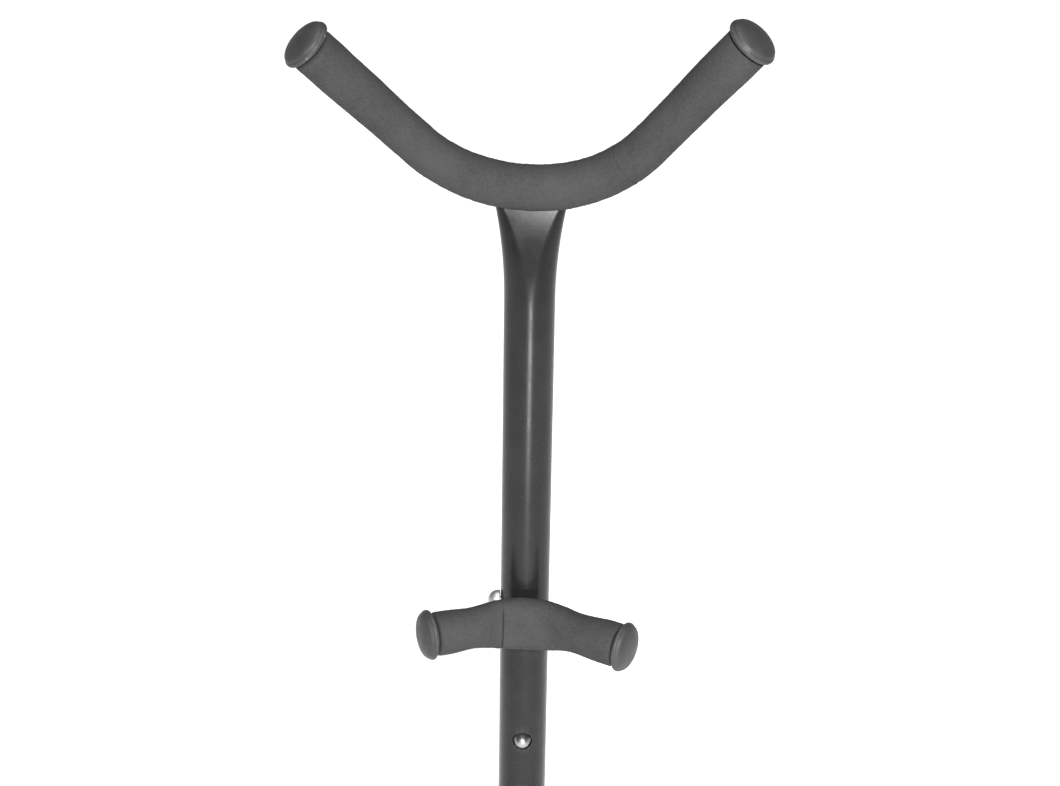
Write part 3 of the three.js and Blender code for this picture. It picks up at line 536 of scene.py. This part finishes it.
def make_weld(radius):
    """A rippled weld bead where the leaning socket meets the hub's top plate."""
    lean = atan2(-FORWARD.z, -FORWARD.y)
    foot = mast_top - UP * SHAFT_LENGTH * MM
    bead, ripples, turns, cross = 1.5, 23, 288, 14
    off, rise, flatness = 0.4, 0.55, 0.8
    tilt = around(cross)
    rings = []
    for i in range(turns):
        angle = i * 2 * pi / turns
        uneven = noise.noise(Vector((cos(angle), sin(angle), 0.3)) * 4)
        size = bead * (1 + 0.13 * abs(sin(angle * ripples)) + 0.08 * uneven)
        out = np.array([cos(angle), sin(angle), 0])
        middle = np.array([(radius + off) * cos(angle), (radius + off) * sin(angle) / cos(lean), rise])
        up = np.array([0, 0, flatness])
        rings.append(middle + size * (np.cos(tilt)[:, None] * out + np.sin(tilt)[:, None] * up))
    made = skin("socket_weld", rings, Matrix.Translation(foot) @ FLOOR, hollow=True)
    floor_z = foot.z + 0.1 * MM
    for vertex in made.data.vertices:
        vertex.co.z = max(vertex.co.z, floor_z)
    made.data.materials.append(paint)
    made.data.polygons.foreach_set("use_smooth", [True] * len(made.data.polygons))
    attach(made, "base")


def make_button():
    """A button with a flange inside the tubes, a shoulder in its hole and a narrower dome."""
    crown, rim, flange = MAST["radius"] + BUTTON["dome"], BUTTON["radius"], BUTTON["flange"]
    seat, flange_top, edge = BUTTON["seat"], BUTTON["flange_top"], 0.4
    shoulder = [(rim, flange_top), (rim, 9.7), (rim - 0.7, 11)]
    dome = [(3.1, crown - 2.1), (2.2, crown - 0.6), (0, crown - 0.1)]
    profile = [(0, seat), (flange - edge, seat), (flange, 5.7), (flange, 6), (flange - edge, flange_top)]
    profile += rounded([*shoulder, *dome], 1.5, 6)
    place = facing(SHAFT, (0, 0, -BUTTON["drop"]), (0, -1, 0))
    piece(turned("button", profile, place, 96), "snap_button", bright)


# ------------------------------------------------------------------ yokes


def yoke_place(yoke, distance):
    """A bar's centre, direction, inward normal and half thickness at a distance from its lowest point."""
    bend = yoke["radii"][int(distance > 0)]
    left_bend, right_bend = yoke["bends"]
    angle = min(max(distance / bend, -left_bend), right_bend)
    beyond = distance - angle * bend
    along = np.array([cos(angle), 0, sin(angle)])
    at = np.array([bend * sin(angle), 0, bend * (1 - cos(angle))]) + along * beyond
    half = BAR_RADIUS
    if "pressed_half" in yoke:
        run_out = (abs(distance) - yoke["flat_half"]) / yoke["flat_run_out"]
        half = eased(yoke["pressed_half"], BAR_RADIUS, run_out)
    return at, along, np.array([-along[2], 0, along[0]]), half


def foam_wall(yoke, distance):
    middle, arm, end = yoke["foam"]
    thinnest, swell = 0.55, 0.35  # shares of an arm's length
    share = abs(distance) / (yoke["left"] if distance < 0 else yoke["right"])
    return eased(eased(middle, arm, share / thinnest), end, (share - thinnest) / swell)


def wrinkle(distance, angle, seed, tight):
    """How far the foam's skin stands out: slow unevenness, and fine creases across a bent bar."""
    c, s = cos(angle), sin(angle)
    slow = noise.noise(Vector((distance * 0.045, c * 0.7, s * 0.7 + seed)))
    lump = noise.noise(Vector((distance * 0.16, c * 1.3 + seed, s * 1.3)))
    crease = noise.noise(Vector((distance * 0.62, c * 0.55, s * 0.55 - seed)))
    thread = noise.noise(Vector((distance * 1.25 + seed, c * 1.1, s * 1.1)))
    return 0.24 * slow + 0.12 * lump + tight * (0.19 * crease + 0.09 * thread)


def pinch(angles, middle):
    """1 where a seam is pulled in, about an angle round the bar, and little elsewhere."""
    return 0.06 + 0.94 * np.maximum(np.cos(angles - middle), 0) ** 2


def foam_rings(yoke, start, stop, seed, rounds, seam_at):
    """A sleeve's skin, ring by ring: rounded start, length, rounded end, and back through its bore."""
    sides, step, bore_step = 112, 0.55, 4
    angles = around(sides)
    outward = np.stack([np.cos(angles), np.sin(angles)], axis=1)
    rings = []
    (start_round, start_seam), (stop_round, stop_seam) = ((abs(r), r < 0) for r in rounds)

    def add(distance, drop, calm, at_seam=False):
        at, _, inward, half = yoke_place(yoke, distance)
        side = int(distance > 0)
        creased = yoke["radii"][side] * yoke["bends"][side] * 1.25
        tight = 0.25 + 0.75 * max(0.0, 1 - abs(distance) / creased)
        out = foam_wall(yoke, distance)
        outline = section(BAR_RADIUS + out, half + out, sides)
        inwards = drop * (pinch(angles, seam_at) if at_seam else np.ones(sides))
        outline = outline - inwards[:, None] * outward
        rise = np.array([wrinkle(distance, a, seed, tight) for a in angles]) * calm
        outline = outline + rise[:, None] * outward
        rings.append(ring(at, (0, 1, 0), inward, outline))

    quarter = np.linspace(0, pi / 2, 7)
    for a in quarter:
        calm = 1 if start_seam else sin(a)
        add(start + start_round * (1 - cos(a)), start_round * (1 - sin(a)), calm, start_seam)
    for distance in spaced(start + start_round, stop - stop_round, step)[1:-1]:
        add(distance, 0, 1)
    for a in reversed(quarter):
        calm = 1 if stop_seam else sin(a)
        add(stop - stop_round * (1 - cos(a)), stop_round * (1 - sin(a)), calm, stop_seam)
    for distance in spaced(stop, start, bore_step):
        at, _, inward, half = yoke_place(yoke, distance)
        rings.append(ring(at, (0, 1, 0), inward, section(BAR_RADIUS + GAP, half + GAP, sides)))
    return rings


def make_foam(node, yoke, where, start, stop, seed, rounds, seam_at, cutters=()):
    """A sleeve. Its rounds are the rounding of its two ends, negative where it meets the other sleeve."""
    made = skin(node, foam_rings(yoke, start, stop, seed, rounds, seam_at), where, hollow=True)
    for cutter in cutters:
        boolean(made, cutter)
    piece(made, node, foam, radians(50))


def make_cap(node, yoke, where, distance):
    """A flanged plug: a neck, a rolled rim and a soft domed crown."""
    at, along, _, _ = yoke_place(yoke, distance)
    rim, neck, under, face, dome = (CAP[key] for key in ("rim", "neck", "neck_top", "face", "dome"))
    shank, deep = BAR_BORE - GAP, -CAP["stem_length"]
    inside = rim - CAP["lip"]
    stem = [(0, deep), (shank - 0.55, deep), (shank, deep + 0.6), (shank, GAP)]
    lip = [(shank, GAP), (neck, GAP), (neck, under), (rim - 0.9, under), (rim, under + 0.6)]
    lip += [(rim, face - 0.6), (inside, face + 0.15)]
    crown = [(inside * cos(a), face + dome * sin(a)) for a in np.linspace(0.16, pi / 2, 20)]
    profile = [*stem, *rounded(lip, 0.6, 4)[1:], *crown[:-1], (0, face + dome)]
    made = turned(node, profile, facing(where, at, along * (1 if distance > 0 else -1)), 120)
    piece(made, node, plastic, radians(50))


def mast_room():
    """The mast's pressed top with clearance, to cut its slot in the foam."""
    above, below, clearance = 1, 22, 0.35
    return skin("cutter", [mast_ring(drop, clearance, 96) for drop in spaced(-above, below, 1.0)], SHAFT)


def make_upper_yoke():
    start, seam, stop = -UPPER["left"], UPPER["seam"], UPPER["right"]
    seed, end_round, pinched = 3.1, 1.7, -pi / 2
    make_foam("upper_foam_long", UPPER, UPPER_FRAME, start, seam - PARTING, seed, (end_round, -0.7), pinched,
              [mast_room()])
    make_foam("upper_foam_short", UPPER, UPPER_FRAME, seam + PARTING, stop, seed, (-1.5, end_round), pinched)
    make_cap("upper_cap_left", UPPER, UPPER_FRAME, start)
    make_cap("upper_cap_right", UPPER, UPPER_FRAME, stop)


def make_lower_yoke():
    start, seam, stop = -LOWER["left"], LOWER["seam"], LOWER["right"]
    seed, end_round, pinched = 14.2, 1.8, radians(115)
    behind = 20
    saddle = rod(SADDLE_RADIUS + 2 * GAP, (0, 0, -behind), (0, 0, 0), LOWER_FRAME, 96)
    head = rod(YOKE_BOLT["head"], (0, 0, 0), (0, 0, YOKE_BOLT["head_height"]), LOWER_FRAME)
    make_foam("lower_foam_left", LOWER, LOWER_FRAME, start, seam - PARTING, seed, (end_round, -1.1), pinched)
    make_foam("lower_foam_right", LOWER, LOWER_FRAME, seam + PARTING, stop, seed, (-0.7, end_round), pinched,
              [saddle, head])
    make_cap("lower_cap_left", LOWER, LOWER_FRAME, start)
    make_cap("lower_cap_right", LOWER, LOWER_FRAME, stop)


def make_saddle():
    """A round spacer between mast and yoke bar, hollowed to fit the mast."""
    front = LOWER["forward"] - LOWER["pressed_half"] - GAP
    drop, reach, behind = LOWER["drop"], 2 * SADDLE_RADIUS, 5
    made = rod(SADDLE_RADIUS, (0, -behind, -drop), (0, -front, -drop), SHAFT, 96)
    boolean(made, rod(MAST["radius"] + GAP, (0, 0, -drop - reach), (0, 0, -drop + reach), SHAFT, 128))
    boolean(made, front_hole(drop, YOKE_BOLT["hole"]))
    piece(bevelled(made, 0.4), "yoke_saddle", plastic)


# ------------------------------------------------------------------ fasteners


def make_bolt(node, place, size, length, material):
    """A round-headed bolt with a hexagon socket in its head, standing on the frame's origin."""
    head, height, shank = size["head"], size["height"], size["radius"]
    key = hexagon(2 * size["key"])
    quarter = np.linspace(0, pi / 2, 9)
    dome = [(head * 0.62 + head * 0.38 * cos(a), height * (0.3 + 0.7 * sin(a))) for a in quarter]
    rows = [(0, -length), (shank - 0.5, -length), (shank, 0.5 - length), (shank, 0)]
    rows += [(head - 0.2, 0), (head, 0.25), *dome]
    rows += [(lambda a: key(a) * 1.12, height), (key, height - 0.2), (key, height * 0.35), (0, height * 0.25)]
    piece(turned(node, rows, place, 72), node, material, radians(30))


def make_nut(node, place, flats, height, bore, material):
    """A hexagon nut with chamfered corners and a thin locking collar."""
    outline = hexagon(flats)

    def chamfered(depth):
        return lambda angles: np.minimum(outline(angles), flats / 2 - 0.1 + depth * 1.7)

    body = height * 0.78
    rows = [(bore, 0.3), (bore + 0.4, 0)]
    rows += [(chamfered(depth), depth) for depth in (0, 0.2, 0.4, 0.6)]
    rows += [(chamfered(body - z), z) for z in (body - 0.6, body - 0.4, body - 0.2, body)]
    rows += [(flats * 0.42, body + 0.05), (flats * 0.4, height - 0.25), (flats * 0.37, height)]
    rows += [(bore + 0.3, height), (bore, height - 0.3)]
    piece(turned(node, rows, place, 72, hollow=True), node, material, radians(28))


def make_washer(node, x, y):
    low, high = (corner.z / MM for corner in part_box(node))
    bore, outer = BOLT["hole"], 6
    profile = rounded([(bore, low), (outer, low), (outer, high), (bore, high)], 0.25, 3, closed=True)
    piece(turned(node, profile, FLOOR @ Matrix.Translation((x, y, 0)), 72, hollow=True), node, zinc)


def make_side_screw():
    place = facing(SHAFT, (-MAST["radius"] - GAP, 0, SIDE_SCREW["rise"] - LOWER["drop"]), (-1, 0, 0))
    head, height, shank = SIDE_SCREW["head"], SIDE_SCREW["height"], SIDE_SCREW["radius"]
    length, band = SIDE_SCREW["length"], 0.9
    dome = [(head * cos(a), band + (height - band) * sin(a)) for a in np.linspace(0, pi / 2, 18)][:-1]
    rows = [(0, -length), (shank - 0.4, -length), (shank, 0.5 - length), (shank, 0)]
    rows += [(head - 0.25, 0), (head, 0.25), *dome, (0, height)]
    piece(turned("side_screw", rows, place, 72), "side_screw", satin, radians(40))


def make_socket_fixing():
    drop = SHAFT_LENGTH - SOCKET["bolt_drop"]
    seat = INNER["radius"] + 2 * GAP + SOCKET["wall"]
    length = 2 * seat + SOCKET_BOLT["past_nut"]
    make_bolt("socket_bolt", facing(SHAFT, (seat, 0, -drop), (1, 0, 0)), SOCKET_BOLT, length, zinc)
    place = facing(SHAFT, (-seat, 0, -drop), (-1, 0, 0))
    make_nut("socket_nut", place, flats=8, height=4, bore=SOCKET["bolt_hole"], material=zinc)


def plan_middle(node):
    low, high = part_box(node)
    return (low.x + high.x) / 2 / MM, (low.y + high.y) / 2 / MM


def make_hub_bolt(bolt, nut):
    low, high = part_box(bolt)
    x, y = plan_middle(bolt)
    seat = high.z / MM - BOLT["height"]
    make_bolt(bolt, FLOOR @ Matrix.Translation((x, y, seat)), BOLT, seat - low.z / MM, zinc)
    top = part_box(nut)[1].z / MM
    place = facing(FLOOR, (x, y, top), (0, 0, -1))
    make_nut(nut, place, flats=10, height=5, bore=BOLT["hole"], material=zinc)
    return x, y


def make_rivet(node):
    """A shouldered rivet: its thick middle holds the plates apart and stops a leg."""
    x, y = plan_middle(node)
    bottom, top = (corner.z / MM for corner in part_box(node))
    inner_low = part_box("hub_bottom_plate")[1].z / MM + GAP
    inner_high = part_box("hub_top_plate")[0].z / MM - GAP
    shank, dome, spacer, edge = (RIVET[key] for key in ("radius", "dome", "spacer", "edge"))
    head = [(RIVET["head"] * cos(a), dome * sin(a)) for a in np.linspace(0, pi / 2, 10)]
    rows = [(r, bottom + dome - h) for r, h in reversed(head)]
    rows += [(shank, bottom + dome), (shank, inner_low), (spacer - edge, inner_low)]
    rows += [(spacer, inner_low + edge), (spacer, inner_high - edge)]
    rows += [(spacer - edge, inner_high), (shank, inner_high), (shank, top - dome)]
    rows += [(r, top - dome + h) for r, h in head]
    piece(turned(node, rows, FLOOR @ Matrix.Translation((x, y, 0)), 64), node, zinc)


# ------------------------------------------------------------------ hub and legs


def plate_outline():
    """The hub plate seen from above: wide at the pivots, with a tongue over the rear leg."""
    low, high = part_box("hub_top_plate")
    pivot = Vector(joints["right_leg_fold"]["pos_m"]) / MM
    wide, front, back = high.x / MM, low.y / MM, high.y / MM
    half = [(wide - 2, front), (wide, pivot.y + 14), (12, pivot.y + 22), (12, back)]
    corners = half + [(-x, y) for x, y in reversed(half)]
    return rounded(corners, 7, 10, closed=True)


def make_plate(node, holes):
    low, high = (corner.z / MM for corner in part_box(node))
    outline = plate_outline()
    rings = [[(x, y, z) for x, y in outline] for z in (low, high)]
    made = skin(node, rings, FLOOR)
    for x, y, radius in holes:
        boolean(made, rod(radius, (x, y, low - 1), (x, y, high + 1), FLOOR))
    piece(bevelled(made, 0.45), node, paint, radians(25))


def leg_ring(x, flat, fall, larger, sides):
    height = LEG["height"] - max(0, x - flat) * tan(fall)
    share = eased(0, 1, (x - flat + 4) / 8)
    angle = fall * share
    half = eased(LEG["pressed_half"], LEG["radius"], (x - flat) / LEG["run_out"])
    outline = section(LEG["radius"] + larger, half + larger, sides)
    return ring((x, 0, height), (0, 1, 0), (sin(angle), 0, cos(angle)), outline)


def make_leg(node, where, kind, holes):
    flat, reach = kind["flat"], kind["reach"]
    fall = atan2(LEG["height"] - LEG["radius"] - BOOT["under"], reach - flat)
    flat_half = LEG["pressed_half"] + pi * (LEG["radius"] - LEG["pressed_half"]) / 2
    places = [*spaced(-flat_half - 1, flat - 4, 6), *spaced(flat - 4, flat + LEG["run_out"], 1.2)[1:],
              *spaced(flat + LEG["run_out"], reach, 12)[1:]]
    rings = [leg_ring(x, flat, fall, 0, 96) for x in places]
    rings += [leg_ring(x, flat, fall, -LEG["wall"], 96) for x in reversed(places)]
    made = skin(node, rings, where, hollow=True)
    edge, above, under = 0.1, 60, -5
    wide = flat_half + edge
    plan = [(edge + wide * cos(a), wide * sin(a)) for a in np.linspace(pi / 2, 1.5 * pi, 49)]
    plan += [(2 * reach, -wide), (2 * reach, wide)]
    boolean(made, skin("cutter", [[(x, y, z) for x, y in plan] for z in (under, above)], where), "INTERSECT")
    for x in holes:
        boolean(made, rod(BOLT["radius"] + GAP, (x, 0, 0), (x, 0, above), where))
    piece(made, node, paint)
    return fall


def make_boot(node, where, kind, fall):
    """A rubber boot: a ribbed sleeve run into a flat-soled pad, with moulded fillets."""
    reach = kind["reach"]
    along = Vector((cos(fall), 0, -sin(fall)))
    end = Vector((reach, 0, LEG["radius"] + BOOT["under"]))
    mouth = end - along * BOOT["sleeve"]
    length, radius = BOOT["sleeve"] + BOOT["end"], BOOT["radius"]
    sole, pad_top = BOOT["pad"], BOOT["pad_height"]
    first_rib, rib_pitch, rib_height, ribbed, tip_round = 3.2, 4.2, 0.55, 14, 2.6

    def rib(z):
        wave = max(0.0, cos((z - first_rib) / rib_pitch * 2 * pi)) ** 3
        return radius - 0.15 + rib_height * wave * (z < ribbed)

    ribs = [(rib(z), z) for z in np.arange(0.9, length - tip_round, 0.25)]
    quarter = np.linspace(0, pi / 2, 8)
    tip = [(radius + tip_round * (cos(a) - 1), length + tip_round * (sin(a) - 1)) for a in quarter]
    profile = [(0, 0), (radius - 0.7, 0), *ribs, *tip, (0, length)]
    made = turned(node, profile, facing(where, mouth, along), 96)
    pad = rounded([(0, 0), (sole, 0), (sole - 0.9, pad_top), (0, pad_top)], 1.4, 6)
    middle = where @ Matrix.Translation((reach - BOOT["set_back"], 0, 0))
    boolean(made, turned("pad", pad, middle, 96), "UNION")
    remesh = made.modifiers.new("moulded", "REMESH")
    remesh.mode, remesh.voxel_size = "VOXEL", 0.45 * MM
    soften = made.modifiers.new("fillets", "SMOOTH")
    soften.factor, soften.iterations = 0.5, 7
    applied(made)
    for vertex in made.data.vertices:
        vertex.co.z = max(vertex.co.z, 0)
    boolean(made, rod(LEG["radius"] + GAP, mouth - along * 3, end + along * GAP, where, 96))
    piece(made, node, rubber)


def leg_frame(x, y, heading):
    return FLOOR @ Matrix.Translation((x, y, 0)) @ Matrix.Rotation(heading, 4, "Z")


def make_base():
    rear = [make_hub_bolt(f"rear_bolt_{name}", f"rear_nut_{name}") for name in ("inner", "outer")]
    holes = [(x, y, BOLT["hole"]) for x, y in rear]
    for name, sign in (("left", -1), ("right", 1)):
        x, y = make_hub_bolt(f"pivot_bolt_{name}", f"pivot_nut_{name}")
        make_washer(f"pivot_washer_{name}", x, y)
        make_rivet(f"stop_rivet_{name}")
        holes += [(x, y, BOLT["hole"]), (*plan_middle(f"stop_rivet_{name}"), RIVET["hole"])]
        heading = -LEG["splay"] if sign > 0 else pi + LEG["splay"]
        where = leg_frame(x, y, heading)
        fall = make_leg(f"front_leg_{name}", where, FRONT, [0])
        make_boot(f"front_boot_{name}", where, FRONT, fall)
    where = leg_frame(*rear[0], pi / 2)
    fall = make_leg("rear_leg", where, REAR, [0, rear[1][1] - rear[0][1]])
    make_boot("rear_boot", where, REAR, fall)
    for node in ("hub_top_plate", "hub_bottom_plate"):
        make_plate(node, holes)


def dress_hidden_nodes():
    """CAD nodes that stay as they are, inside the foam and the tubes."""
    finishes = {"upper_yoke_bar": paint, "lower_yoke_bar": paint, "yoke_bolt": zinc, "captive_nut": zinc,
                "anchor_plug": nylon, "button_spring": spring_steel}
    for node, material in finishes.items():
        mesh = frame["nodes"][node].data
        mesh.materials.clear()
        mesh.materials.append(material)


# ------------------------------------------------------------------ stage, light and camera


def make_floor():
    reach = 30
    corners = [(-reach, -reach, 0), (reach, -reach, 0), (reach, reach, 0), (-reach, reach, 0)]
    floor = linked("floor", corners, [(0, 1, 2, 3)], Matrix())
    s = Shader("pale_floor", Roughness=0.9, Specular_IOR_Level=0.1)
    floor.data.materials.append(s.finish(s.blend(s.noise(3, 2), grey(0.88), grey(0.9))))


def area_light(name, position, aim, size, power):
    light = bpy.data.lights.new(name, "AREA")
    light.shape, light.size, light.energy = "DISK", size, power
    made = bpy.data.objects.new(name, light)
    bpy.context.scene.collection.objects.link(made)
    made.location = position
    made.rotation_euler = (Vector(position) - Vector(aim)).to_track_quat("Z", "Y").to_euler()
    return made


def make_light():
    """A key in front and above, a low light for the mast's stripe, a kicker on the left and a wide sun."""
    world = bpy.data.worlds.new("studio")
    world.use_nodes = True
    background = world.node_tree.nodes["Background"]
    background.inputs["Color"].default_value = (1, 1, 1, 1)
    background.inputs["Strength"].default_value = 0.12
    bpy.context.scene.world = world
    aim = mast_top - UP * 0.1
    area_light("key", aim + Vector((0.2, -1.2, 0.95)), aim, size=0.3, power=54)
    low = area_light("low_front", aim + Vector((0.06, -0.55, -0.08)), aim, size=0.07, power=1.9)
    low.visible_camera = False
    area_light("kicker", aim + Vector((-0.95, -0.9, 0.85)), aim, size=0.12, power=4)
    sun = bpy.data.lights.new("overhead", "SUN")
    sun.energy, sun.angle = 2.6, radians(40)
    made = bpy.data.objects.new("overhead", sun)
    bpy.context.scene.collection.objects.link(made)
    made.rotation_euler = (radians(-4), 0, 0)


def make_camera():
    """The camera looks down at the mast, a little from the right, from its front."""
    above, side, roll = radians(24), radians(0.7), radians(0.93)
    distance, aim_drop = 0.9867, 0.12
    aim = mast_top - UP * aim_drop
    toward = (ACROSS * sin(side) + FORWARD * cos(side)) * cos(above) + UP * sin(above)
    right = ACROSS * cos(side) - FORWARD * sin(side)
    up = toward.cross(right)
    turned_right = right * cos(roll) + up * sin(roll)
    turned_up = up * cos(roll) - right * sin(roll)
    camera = bpy.data.cameras.new("camera")
    camera.sensor_width, camera.lens = 36, 75.3
    camera.shift_x, camera.shift_y = 0.0026, 0.0508
    camera.clip_start, camera.clip_end = 0.05, 100
    made = bpy.data.objects.new("camera", camera)
    bpy.context.scene.collection.objects.link(made)
    turn = Matrix((turned_right, turned_up, toward)).transposed().to_4x4()
    made.matrix_world = Matrix.Translation(aim + toward * distance) @ turn
    bpy.context.scene.camera = made


# ------------------------------------------------------------------ the stand and its stage

make_mast()
make_collar()
make_inner_tube()
make_socket()
make_button()
make_upper_yoke()
make_lower_yoke()
make_saddle()
make_side_screw()
make_socket_fixing()
make_base()
dress_hidden_nodes()
make_floor()
make_light()
make_camera()
bpy.context.scene.view_settings.view_transform = "Standard"
